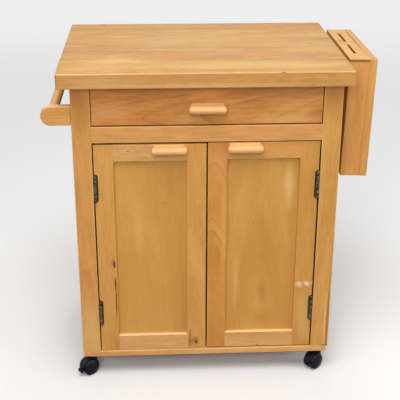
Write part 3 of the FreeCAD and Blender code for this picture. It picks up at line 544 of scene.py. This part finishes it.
LEFT_OUTER_STILE_MARKS = (
    gap_shade(-0.284, GAP_SHADE_BROWN),
    hinge_recess_shade(-0.2785, 0.1935),
    hinge_recess_shade(-0.2785, 0.5535),
    mark((-0.2435, DOOR_FACE, 0.341), (0.008, 0.006, 0.018), (176, 106, 60), 0.6),
    mark((-0.2415, DOOR_FACE, 0.337), (0.0038, 0.006, 0.0135), DARK_BROWN, 0.95),
    mark((-0.2402, DOOR_FACE, 0.281), (0.0030, 0.006, 0.024), DARK_BROWN, 0.95),
    front_patch(DOOR_FACE, -0.262, 0.13, 0.03, 0.08, (206, 152, 82), 0.6),
    mark((-0.2396, DOOR_FACE, 0.226), (0.0023, 0.006, 0.06), (90, 48, 26), 0.95, ragged=0.3),
)

LEFT_INNER_STILE_MARKS = (
    gap_shade(-0.0016, GAP_SHADE_BLACK),
    mark((-0.0435, DOOR_FACE, 0.110), (0.0034, 0.006, 0.036), (134, 78, 40), 0.65),
    mark((-0.030, DOOR_FACE, 0.100), (0.013, 0.006, 0.016), (146, 88, 44), 0.6, ragged=0.8),
    mark((-0.0265, DOOR_FACE, 0.097), (0.0042, 0.006, 0.006), (84, 40, 20), 0.9),
    mark((-0.044, DOOR_FACE, 0.094), (0.006, 0.006, 0.014), (150, 92, 50), 0.5),
)

LEFT_TOP_RAIL_MARKS = (
    mark((-0.197, DOOR_FACE, 0.652), (0.006, 0.004, 0.0025), (130, 80, 40), 0.5),
    mark((-0.153, DOOR_FACE, 0.660), (0.006, 0.004, 0.0025), (150, 96, 52), 0.4),
)

LEFT_PANEL_MARKS = (
    front_patch(PANEL_FACE, -0.176, 0.43, 0.022, 0.11, (216, 166, 88), 0.7),
    front_patch(PANEL_FACE, -0.07, 0.56, 0.025, 0.10, (198, 138, 66), 0.6),
    front_patch(PANEL_FACE, -0.13, 0.17, 0.10, 0.06, (202, 149, 78), 0.5),
    mark((-0.0935, PANEL_FACE, 0.52), (0.0009, 0.004, 0.12), (176, 118, 54), 0.5, ragged=0.3),
    mark((-0.111, 0.014, 0.506), (0.006, 0.004, 0.0018), (140, 84, 40), 0.6),
)

RIGHT_OUTER_STILE_MARKS = (
    gap_shade(0.284, GAP_SHADE_BROWN),
    hinge_recess_shade(0.2785, 0.196),
    hinge_recess_shade(0.2785, 0.556),
    front_patch(DOOR_FACE, 0.262, 0.16, 0.03, 0.11, (214, 168, 100), 0.7),
    mark((0.248, DOOR_FACE, 0.267), (0.012, 0.006, 0.011), (236, 206, 180), 0.65, ragged=1.3),
    mark((0.268, DOOR_FACE, 0.268), (0.010, 0.006, 0.010), (238, 210, 190), 0.7, ragged=1.3),
    mark((0.282, DOOR_FACE, 0.269), (0.005, 0.006, 0.006), (232, 196, 160), 0.6, ragged=0.8),
)

RIGHT_INNER_STILE_MARKS = (
    gap_shade(0.0016, GAP_SHADE_BLACK),
    front_patch(DOOR_FACE, 0.03, 0.62, 0.045, 0.10, (208, 152, 86), 0.45),
    front_patch(DOOR_FACE, 0.043, 0.40, 0.012, 0.28, (216, 158, 84), 0.6),
    front_patch(DOOR_FACE, 0.015, 0.30, 0.014, 0.25, (196, 128, 58), 0.5),
)

RIGHT_BOTTOM_RAIL_MARKS = (mark((0.140, DOOR_FACE, 0.083), (0.004, 0.004, 0.0022), (110, 60, 30), 0.7),)

RIGHT_PANEL_MARKS = (
    front_patch(PANEL_FACE, 0.2105, 0.545, 0.022, 0.09, (222, 178, 112), 0.9),
    front_patch(PANEL_FACE, 0.16, 0.35, 0.05, 0.10, (196, 136, 62), 0.6),
    front_patch(PANEL_FACE, 0.150, 0.24, 0.016, 0.06, (184, 120, 54), 0.7),
    front_patch(PANEL_FACE, 0.152, 0.16, 0.05, 0.05, (192, 128, 56), 0.7),
    front_patch(PANEL_FACE, 0.078, 0.27, 0.012, 0.13, (214, 166, 96), 0.7),
    front_patch(PANEL_FACE, 0.09, 0.47, 0.03, 0.10, (210, 156, 80), 0.5),
    mark((0.122, 0.014, 0.444), (0.0018, 0.004, 0.007), (150, 84, 40), 0.6),
)

FRONT_BRACKET_MARKS = (
    mark((-0.3346, POST_FACE, 0.745), (0.0012, 0.004, 0.027), (118, 66, 32), 0.6, ragged=0.2),
)

LID_MARKS = (
    block_seam(),
    slot_wall(0.1928),
    slot_wall(0.3233),
    # The lid's thin front edge, darkened: partly its end grain, partly a painted shadow line
    mark((0.39, 0.088, 0.8545), (0.05, 0.0016, 0.006), (134, 84, 42), 0.85, ragged=0.2, core=0.8),
    mark((0.375, 0.287, WORKTOP_TOP), (0.011, 0.022, 0.004), (172, 110, 72)),
)

# Painted shade on the upper middle of the knife block's front board
BLOCK_FRONT_MARKS = (front_patch(BLOCK_FACE, 0.390, 0.755, 0.019, 0.12, (192, 130, 66), 0.8),)

BLOCK_OUTER_MARKS = (
    block_seam(),
    block_wall_light(0.4142),
    # Painted shade on the upper part of the outer board's front
    front_patch(BLOCK_FACE, 0.413, 0.755, 0.014, 0.12, (198, 138, 70), 0.8),
)

# Each wooden piece, in the order that numbers the cuts of wood
BOARDS = {
    "worktop": dict(
        grain="X", tone="top", pith=(0.0, -0.07), taper=0.03, ring=0.007, stave=0.11, lines=0.3, contrast=3.0,
        wear=0.75, edges=((1, 2),), marks=WORKTOP_MARKS),
    "base_board": dict(
        grain="X", tone="pale", pith=(0.1, -0.05), taper=0.02, lines=0.2, wear=0.0, marks=BASE_MARKS),
    "post_front_left": dict(
        grain="Z", tone="post", pith=(-0.01, 0.10), taper=0.03, contrast=1.3, marks=LEFT_POST_MARKS),
    "post_front_right": dict(
        grain="Z", tone="stile", pith=(0.015, 0.12), taper=0.035, contrast=1.3, marks=RIGHT_POST_MARKS),
    "post_back_left": dict(grain="Z", tone="post"),
    "post_back_right": dict(grain="Z", tone="stile", pith=(0.02, 0.09)),
    "side_panel_left": dict(grain="Z", tone="panel", pith=(-0.16, 0.03), taper=0.12, lines=0.3),
    "side_panel_right": dict(grain="Z", tone="panel", pith=(0.14, -0.05), taper=0.1, lines=0.3),
    "back_panel": dict(grain="Z", tone="inside", pith=(0.05, -0.3), taper=0.25, ring=0.009),
    "drawer_rail": dict(grain="X", tone="rail", pith=(0.08, 0.0), taper=0.0, lines=0.16, contrast=1.2),
    "drawer_runner_left": dict(grain="Y", tone="inside"),
    "drawer_runner_right": dict(grain="Y", tone="inside"),
    "drawer_front": dict(
        grain="X", tone="drawer", pith=(0.0721, -0.0373), taper=-0.1, ring=0.0065, lines=0.55, contrast=1.7,
        marks=DRAWER_MARKS),
    "drawer_side_left": dict(grain="Y", tone="inside", pith=(0.06, 0.02)),
    "drawer_side_right": dict(grain="Y", tone="inside", pith=(-0.06, 0.01)),
    "drawer_back": dict(grain="X", tone="inside", pith=(0.08, 0.0)),
    "drawer_bottom": dict(grain="X", tone="inside", pith=(0.0, -0.4), taper=0.2, ring=0.01),
    "left_door_outer_stile": dict(
        grain="Z", tone="stile", pith=(0.01, 0.11), taper=0.03, lines=0.3, marks=LEFT_OUTER_STILE_MARKS),
    "left_door_inner_stile": dict(
        grain="Z", tone="stile", pith=(-0.02, 0.13), taper=0.04, lines=0.2, marks=LEFT_INNER_STILE_MARKS),
    "left_door_top_rail": dict(
        grain="X", tone="pale", pith=(0.06, 0.0), taper=0.0, lines=0.25, contrast=1.5,
        marks=LEFT_TOP_RAIL_MARKS),
    "left_door_bottom_rail": dict(
        grain="X", tone="pale", pith=(0.08, 0.02), taper=0.0, lines=0.12, wear=0.6, top_highlight=0.45),
    "left_door_panel": dict(
        grain="Z", tone="panel", pith=(-0.05, 0.2), taper=0.05, ring=0.011, lines=0.06, contrast=0.5,
        marks=LEFT_PANEL_MARKS),
    "right_door_outer_stile": dict(
        grain="Z", tone="panel", pith=(-0.01, 0.12), taper=0.03, marks=RIGHT_OUTER_STILE_MARKS),
    "right_door_inner_stile": dict(
        grain="Z", tone="orange", pith=(-0.014, 0.02), taper=0.4, ring=0.02, lines=0.6,
        marks=RIGHT_INNER_STILE_MARKS),
    "right_door_top_rail": dict(grain="X", tone="stile", pith=(0.06, 0.02), taper=0.0, lines=0.2),
    "right_door_bottom_rail": dict(
        grain="X", tone="pale", pith=(0.1, 0.0), taper=0.0, lines=0.12, wear=0.6, top_highlight=0.45,
        marks=RIGHT_BOTTOM_RAIL_MARKS),
    "right_door_panel": dict(
        grain="Z", tone="panel", pith=(0.0, 0.11), taper=0.1, ring=0.011, lines=0.1, contrast=0.5,
        marks=RIGHT_PANEL_MARKS),
    "shelf": dict(grain="X", tone="inside", pith=(0.0, -0.2), taper=0.08, stave=0.09),
    "towel_bracket_front": dict(
        grain="X", tone="rail", pith=(0.05, 0.03), contrast=1.4, wear=0.2, top_highlight=0.35,
        marks=FRONT_BRACKET_MARKS),
    "towel_bracket_back": dict(grain="X", tone="post", pith=(0.05, -0.03), contrast=1.4),
    "towel_dowel": dict(grain="Y", tone="block", pith=(0.05, 0.0), wear=0.0, top_highlight=0.15),
    "knife_block_lid": dict(
        grain="Y", tone="lid", pith=(0.0, -0.06), taper=0.05, wear=0.3, marks=LID_MARKS),
    "knife_block_front_board": dict(
        grain="Z", tone="front", pith=(0.0, 0.14), lines=0.2, marks=BLOCK_FRONT_MARKS),
    "knife_block_back_board": dict(grain="Z", tone="post"),
    "knife_block_outer_board": dict(
        grain="Z", tone="block", pith=(0.08, -0.1), taper=0.12, top_highlight=0.1, marks=BLOCK_OUTER_MARKS),
    "knife_block_inner_board": dict(
        grain="Z", tone="block", pith=(0.03, -0.12), marks=(block_wall_light(0.3800),)),
    "knife_block_bottom": dict(grain="Y", tone="block"),
    "knife_block_spacers": dict(grain="Z", tone="block"),
    "drawer_handle": dict(grain="X", tone="pull", pith=(0.0, -0.05), taper=0.02, lines=0.12, wear=0.0),
    "left_door_handle": dict(grain="X", tone="pull", pith=(0.01, -0.06), taper=0.02, lines=0.12, wear=0.0),
    "right_door_handle": dict(grain="X", tone="pull", pith=(0.0, -0.04), taper=0.02, lines=0.12, wear=0.0),
}


def finish_wood():
    """Every wooden node gets its own cut of wood."""
    for seed, (name, settings) in enumerate(BOARDS.items(), 1):
        low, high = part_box(name)
        material = wood("wood_" + name, low, high, seed=seed, **settings)
        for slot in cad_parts[name].material_slots:
            slot.material = material


# Each door's side of the case, its body, and how much lower than the right one it hangs
DOORS = ((-1, "left_door", 0.0023), (1, "right_door", 0.0))

# The hinges: the heights of their middles on the right door, the barrels' distance from the case's middle,
# and the two joints between knuckles that get a painted highlight, as steps from a barrel's middle
HINGE_LEVELS = (0.196, 0.556)
BARREL_X = 0.282
KNUCKLE_JOINTS = (-0.0204, 0.0204)


def knuckle_highlights():
    """A painted highlight where a hinge's knuckles meet."""
    marks = []
    for side, _, drop in DOORS:
        for level in HINGE_LEVELS:
            for step in KNUCKLE_JOINTS:
                place = (side * BARREL_X, -0.003, level - drop + step)
                marks.append(mark(place, (0.008, 0.006, 0.0016), (196, 190, 178), 0.7, core=0.3))
    return marks


def finish_fittings():
    """Hinges, steel fittings, catch and casters. Returns the two metals for the screws."""
    pewter = metal("hinge_pewter", (132, 122, 110), (74, 66, 58), 0.42, knuckle_highlights())
    zinc = metal("zinc_plate", (196, 196, 190), (150, 150, 146), 0.34)
    brown = plastic("catch_brown", (92, 62, 42), (72, 48, 32), 0.5)
    black = plastic("caster_black", (12, 12, 28), (7, 7, 15), 0.3, gloss=0.3)
    finishes = {"hinge_metal": pewter, "steel": zinc, "catch_plastic": brown, "caster_plastic": black}
    for name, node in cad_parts.items():
        if name in BOARDS:
            continue
        for slot in node.material_slots:
            slot.material = finishes[slot.material.name.split(".")[0]]
    return zinc, pewter


# Each screw head's radius, the rise of its dome and the depth of its closed underside, and how many sides the
# heads have
FLUSH_HEAD = (0.0032, 0.00012, 0.0006)
DOMED_HEAD = (0.0042, 0.0011, 0.0006)
SMALL_HEAD = (0.0026, 0.0001, 0.0005)
HEAD_SIDES = 24

# A cross recess: its arms' reach and half width as shares of the head's radius, and how far it reaches
# over the dome so that the cut is clean
ARM_REACH = 0.62
ARM_HALF_WIDTH = 0.16
CUT_OVERRUN = 0.001


def screw_mesh(name, radius, rise, sink):
    """A screw head about the origin, facing up: a shallow dome with a tapered cross recess."""
    work = bmesh.new()
    dome = [(0.0, rise), (radius * 0.5, rise * 0.88), (radius * 0.85, rise * 0.5), (radius, 0.0)]
    lathe(work, [*dome, (radius * 0.45, -sink), (0.0, -sink)])
    head = bpy.data.meshes.new(name)
    work.to_mesh(head)
    work.free()
    cutter = bmesh.new()
    for turn in (0.0, math.pi / 2):
        cross_arm(cutter, radius * ARM_REACH, radius * ARM_HALF_WIDTH, rise, -rise - sink * 0.4, turn)
    tool = bpy.data.meshes.new(name + "_recess")
    cutter.to_mesh(tool)
    cutter.free()
    return carved(head, tool)


def lathe(work, profile):
    """Turns a profile of radius and height into a closed round body."""
    angles = [2 * math.pi * step / HEAD_SIDES for step in range(HEAD_SIDES)]
    rows = []
    for radius, height in profile:
        if radius == 0.0:
            rows.append([work.verts.new((0.0, 0.0, height))])
            continue
        rows.append([work.verts.new((radius * math.cos(a), radius * math.sin(a), height)) for a in angles])
    for upper, lower in zip(rows, rows[1:]):
        for step in range(HEAD_SIDES):
            after = (step + 1) % HEAD_SIDES
            if len(upper) == 1:
                work.faces.new((upper[0], lower[step], lower[after]))
            elif len(lower) == 1:
                work.faces.new((upper[after], upper[step], lower[0]))
            else:
                work.faces.new((upper[after], upper[step], lower[step], lower[after]))


def cross_arm(work, reach, half, top, bottom, turn):
    """One arm of a cross recess: wide at its top and narrow at its bottom."""
    spin = Matrix.Rotation(turn, 3, "Z")
    rings = []
    for height, wide, thin in ((top + CUT_OVERRUN, reach, half), (bottom, reach * 0.35, half * 0.7)):
        corners = ((-wide, -thin), (wide, -thin), (wide, thin), (-wide, thin))
        rings.append([work.verts.new(spin @ Vector((x, y, height))) for x, y in corners])
    work.faces.new(rings[0])
    work.faces.new(reversed(rings[1]))
    for step in range(4):
        after = (step + 1) % 4
        work.faces.new((rings[0][after], rings[0][step], rings[1][step], rings[1][after]))


def carved(mesh, tool):
    """The mesh with the tool's room cut out of it."""
    body = bpy.data.objects.new("carve_body", mesh)
    cutter = bpy.data.objects.new("carve_tool", tool)
    for item in (body, cutter):
        bpy.context.scene.collection.objects.link(item)
    change = body.modifiers.new("recess", "BOOLEAN")
    change.object = cutter
    change.operation = "DIFFERENCE"
    change.solver = "EXACT"
    change.use_self = True
    result = bpy.data.meshes.new_from_object(body.evaluated_get(bpy.context.evaluated_depsgraph_get()))
    for item in (body, cutter):
        bpy.data.objects.remove(item)
    return result


def place_screws(name, body, material, places, facing, mesh):
    """One piece with a screw head at each place in the drawing's frame, each turned a little further."""
    face = Vector((0, 0, 1)).rotation_difference(Vector(facing)).to_matrix().to_4x4()
    work = bmesh.new()
    for number, place in enumerate(places):
        copy = mesh.copy()
        spin = Matrix.Rotation(0.7 * number + 0.3, 4, "Z")
        copy.transform(Matrix.Translation(in_row_frame(*place)) @ face @ spin)
        work.from_mesh(copy)
        bpy.data.meshes.remove(copy)
    joined = bpy.data.meshes.new(name)
    work.to_mesh(joined)
    work.free()
    piece = bpy.data.objects.new(name, joined)
    bpy.context.scene.collection.objects.link(piece)
    joined.materials.append(material)
    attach(piece, body)


# The ways that screw heads face
BACKWARDS = (0, 1, 0)
LEFTWARDS = (-1, 0, 0)

# Screws in each door's hinge leaves: their distance from the case's middle, their steps up and down from the
# hinge's middle, and how deep the end ones and the middle one sit
LEAF_X = 0.2851
LEAF_STEPS = (-0.024, 0.0, 0.024)
LEAF_END_DEPTH = 0.010
LEAF_MIDDLE_DEPTH = 0.016


def add_door_screws(side, body, drop, heads, zinc, pewter):
    """The screws in one door's hinge leaves, pull and strike plate, which move with the door."""
    flush, domed, small = heads
    leaves = []
    for level in HINGE_LEVELS:
        for step in LEAF_STEPS:
            depth = LEAF_MIDDLE_DEPTH if step == 0 else LEAF_END_DEPTH
            leaves.append((side * LEAF_X, depth, level - drop + step))
    pull = [(side * across, 0.024, 0.657 - drop) for across in (0.069, 0.121)]
    strike = [(side * 0.0143, 0.0252, 0.6585 - drop)]
    place_screws(body + "_hinge_screws", body, pewter, leaves, (side, 0, 0), flush)
    place_screws(body + "_pull_screws", body, zinc, pull, BACKWARDS, domed)
    place_screws(body + "_strike_screw", body, zinc, strike, BACKWARDS, small)


def add_screws(zinc, pewter):
    """The screws that the drawing leaves out, each with its own piece's motion."""
    flush = screw_mesh("flush_screw", *FLUSH_HEAD)
    domed = screw_mesh("domed_screw", *DOMED_HEAD)
    small = screw_mesh("small_screw", *SMALL_HEAD)
    for side, body, drop in DOORS:
        add_door_screws(side, body, drop, (flush, domed, small), zinc, pewter)
    pull = [(across, 0.023, 0.760) for across in (-0.028, 0.028)]
    place_screws("drawer_pull_screws", "drawer", zinc, pull, BACKWARDS, domed)
    catch = [(across, 0.0455, 0.684) for across in (-0.016, 0.016)]
    place_screws("catch_screws", "root", zinc, catch, BACKWARDS, small)
    block = [(0.310, depth, height) for depth in (0.160, 0.356) for height in (0.592, 0.737)]
    place_screws("knife_block_screws", "root", zinc, block, LEFTWARDS, domed)


# The photograph's viewpoint: where the camera stands, its turns in degrees, its lens and sensor in
# millimetres, and how far it sees in metres
EYE = (-0.1450, -2.4016, 1.4397)
YAW = -3.027
DOWNWARD = 23.137
ROLL = 0.184
LENS = 82.91
SENSOR_WIDTH = 36.0
VIEW_END = 50.0


def turn_about(axis, degrees):
    """A turn about one axis."""
    return Matrix.Rotation(math.radians(degrees), 4, axis)


def add_camera():
    """The camera at the photograph's viewpoint."""
    data = bpy.data.cameras.new("camera")
    data.lens = LENS
    data.sensor_width = SENSOR_WIDTH
    data.sensor_fit = "HORIZONTAL"
    data.clip_end = VIEW_END
    camera = bpy.data.objects.new("camera", data)
    bpy.context.scene.collection.objects.link(camera)
    turn = turn_about("Z", YAW) @ turn_about("X", 90 - DOWNWARD) @ turn_about("Z", ROLL)
    camera.matrix_world = Matrix.Translation(EYE) @ turn
    bpy.context.scene.camera = camera


# Each lamp: its name, place, target, size in metres, power in watts, and tint
LAMPS = (
    ("key", (-1.0, -5.45, 3.27), (0.0, -0.25, 0.45), 2.2, 135.0, (0.97, 1.0, 1.02)),
    ("ceiling", (-0.3, -1.5, 3.6), (0.0, 0.0, 0.8), 2.0, 85.0, (1.0, 0.99, 0.98)),
    ("fill", (3.6, -1.5, 1.6), (0.0, 0.0, 0.5), 2.6, 44.0, (0.97, 0.98, 1.0)),
    ("back", (0.3, 2.9, 3.8), (0.0, 0.1, 0.5), 1.8, 52.0, (1.0, 0.99, 0.97)),
)

# What the camera and mirrors see far away, and the even light from all around
BACKDROP = (0.86, 0.86, 0.87, 1.0)
SKY = (0.93, 0.96, 1.0, 1.0)
SKY_STRENGTH = 0.33

# The floor: its radius in metres, the distances between which it fades into the backdrop, its two pale
# shades, and the shade that it throws back at the object
FLOOR_RADIUS = 9.0
FADE = (1.2, 4.5)
FLOOR_SHADES = ((0.8, 0.795, 0.79, 1.0), (0.84, 0.835, 0.83, 1.0))
FLOOR_BOUNCE = (0.34, 0.29, 0.26, 1.0)
FLOOR_ROUGHNESS = 0.8


def add_light(name, at, target, size, power, tint):
    """A soft square lamp that looks at the target."""
    data = bpy.data.lights.new(name, "AREA")
    data.size = size
    data.energy = power
    data.color = tint
    lamp = bpy.data.objects.new(name, data)
    bpy.context.scene.collection.objects.link(lamp)
    lamp.visible_camera = False
    way = Vector(target) - Vector(at)
    lamp.matrix_world = Matrix.Translation(at) @ way.to_track_quat("-Z", "Y").to_matrix().to_4x4()


def add_world():
    """A soft even light from all around. The camera and mirrors see the backdrop instead."""
    world = bpy.data.worlds.new("studio")
    world.use_nodes = True
    tree = world.node_tree
    tree.nodes.clear()
    rays = tree.nodes.new("ShaderNodeLightPath")
    seen = tree.nodes.new("ShaderNodeBackground")
    seen.inputs["Color"].default_value = BACKDROP
    lit = tree.nodes.new("ShaderNodeBackground")
    lit.inputs["Color"].default_value = SKY
    lit.inputs["Strength"].default_value = SKY_STRENGTH
    mix = tree.nodes.new("ShaderNodeMixShader")
    out = tree.nodes.new("ShaderNodeOutputWorld")
    either = tree.nodes.new("ShaderNodeMath")
    either.operation = "MAXIMUM"
    tree.links.new(rays.outputs["Is Camera Ray"], either.inputs[0])
    tree.links.new(rays.outputs["Is Glossy Ray"], either.inputs[1])
    tree.links.new(either.outputs[0], mix.inputs[0])
    tree.links.new(lit.outputs[0], mix.inputs[1])
    tree.links.new(seen.outputs[0], mix.inputs[2])
    tree.links.new(mix.outputs[0], out.inputs[0])
    bpy.context.scene.world = world


def floor_finish():
    """A pale matt floor to the camera, a duller one to the light, that fades into the backdrop far away."""
    graph = Graph("floor_matt")
    place = graph.add("TexCoord").outputs["Object"]
    pale = graph.mix(graph.even_noise(place, 1.5, 3.0), *FLOOR_SHADES)
    seen = graph.add("LightPath").outputs["Is Camera Ray"]
    graph.put(graph.mix(seen, FLOOR_BOUNCE, pale), graph.shader.inputs["Base Color"])
    graph.shader.inputs["Roughness"].default_value = FLOOR_ROUGHNESS
    glow = graph.add("Emission")
    glow.inputs["Color"].default_value = BACKDROP
    far = graph.math("MULTIPLY", graph.smooth(graph.vector("LENGTH", place), *FADE), seen)
    blend = graph.fill(graph.add("MixShader"), (far, graph.shader.outputs[0], glow.outputs[0]))
    graph.put(blend.outputs[0], graph.tree.nodes["Material Output"].inputs["Surface"])
    return graph.material


def add_floor():
    """A wide round floor under the casters."""
    work = bmesh.new()
    bmesh.ops.create_circle(work, cap_ends=True, segments=96, radius=FLOOR_RADIUS)
    mesh = bpy.data.meshes.new("floor")
    work.to_mesh(mesh)
    work.free()
    mesh.materials.append(floor_finish())
    floor = bpy.data.objects.new("floor", mesh)
    bpy.context.scene.collection.objects.link(floor)


def add_studio():
    """Light from the upper left and front and from above, and weaker light from the right and from behind."""
    bpy.context.scene.view_settings.view_transform = "Standard"
    add_world()
    add_floor()
    for lamp in LAMPS:
        add_light(*lamp)


finish_wood()
zinc, pewter = finish_fittings()
add_screws(zinc, pewter)
add_camera()
add_studio()
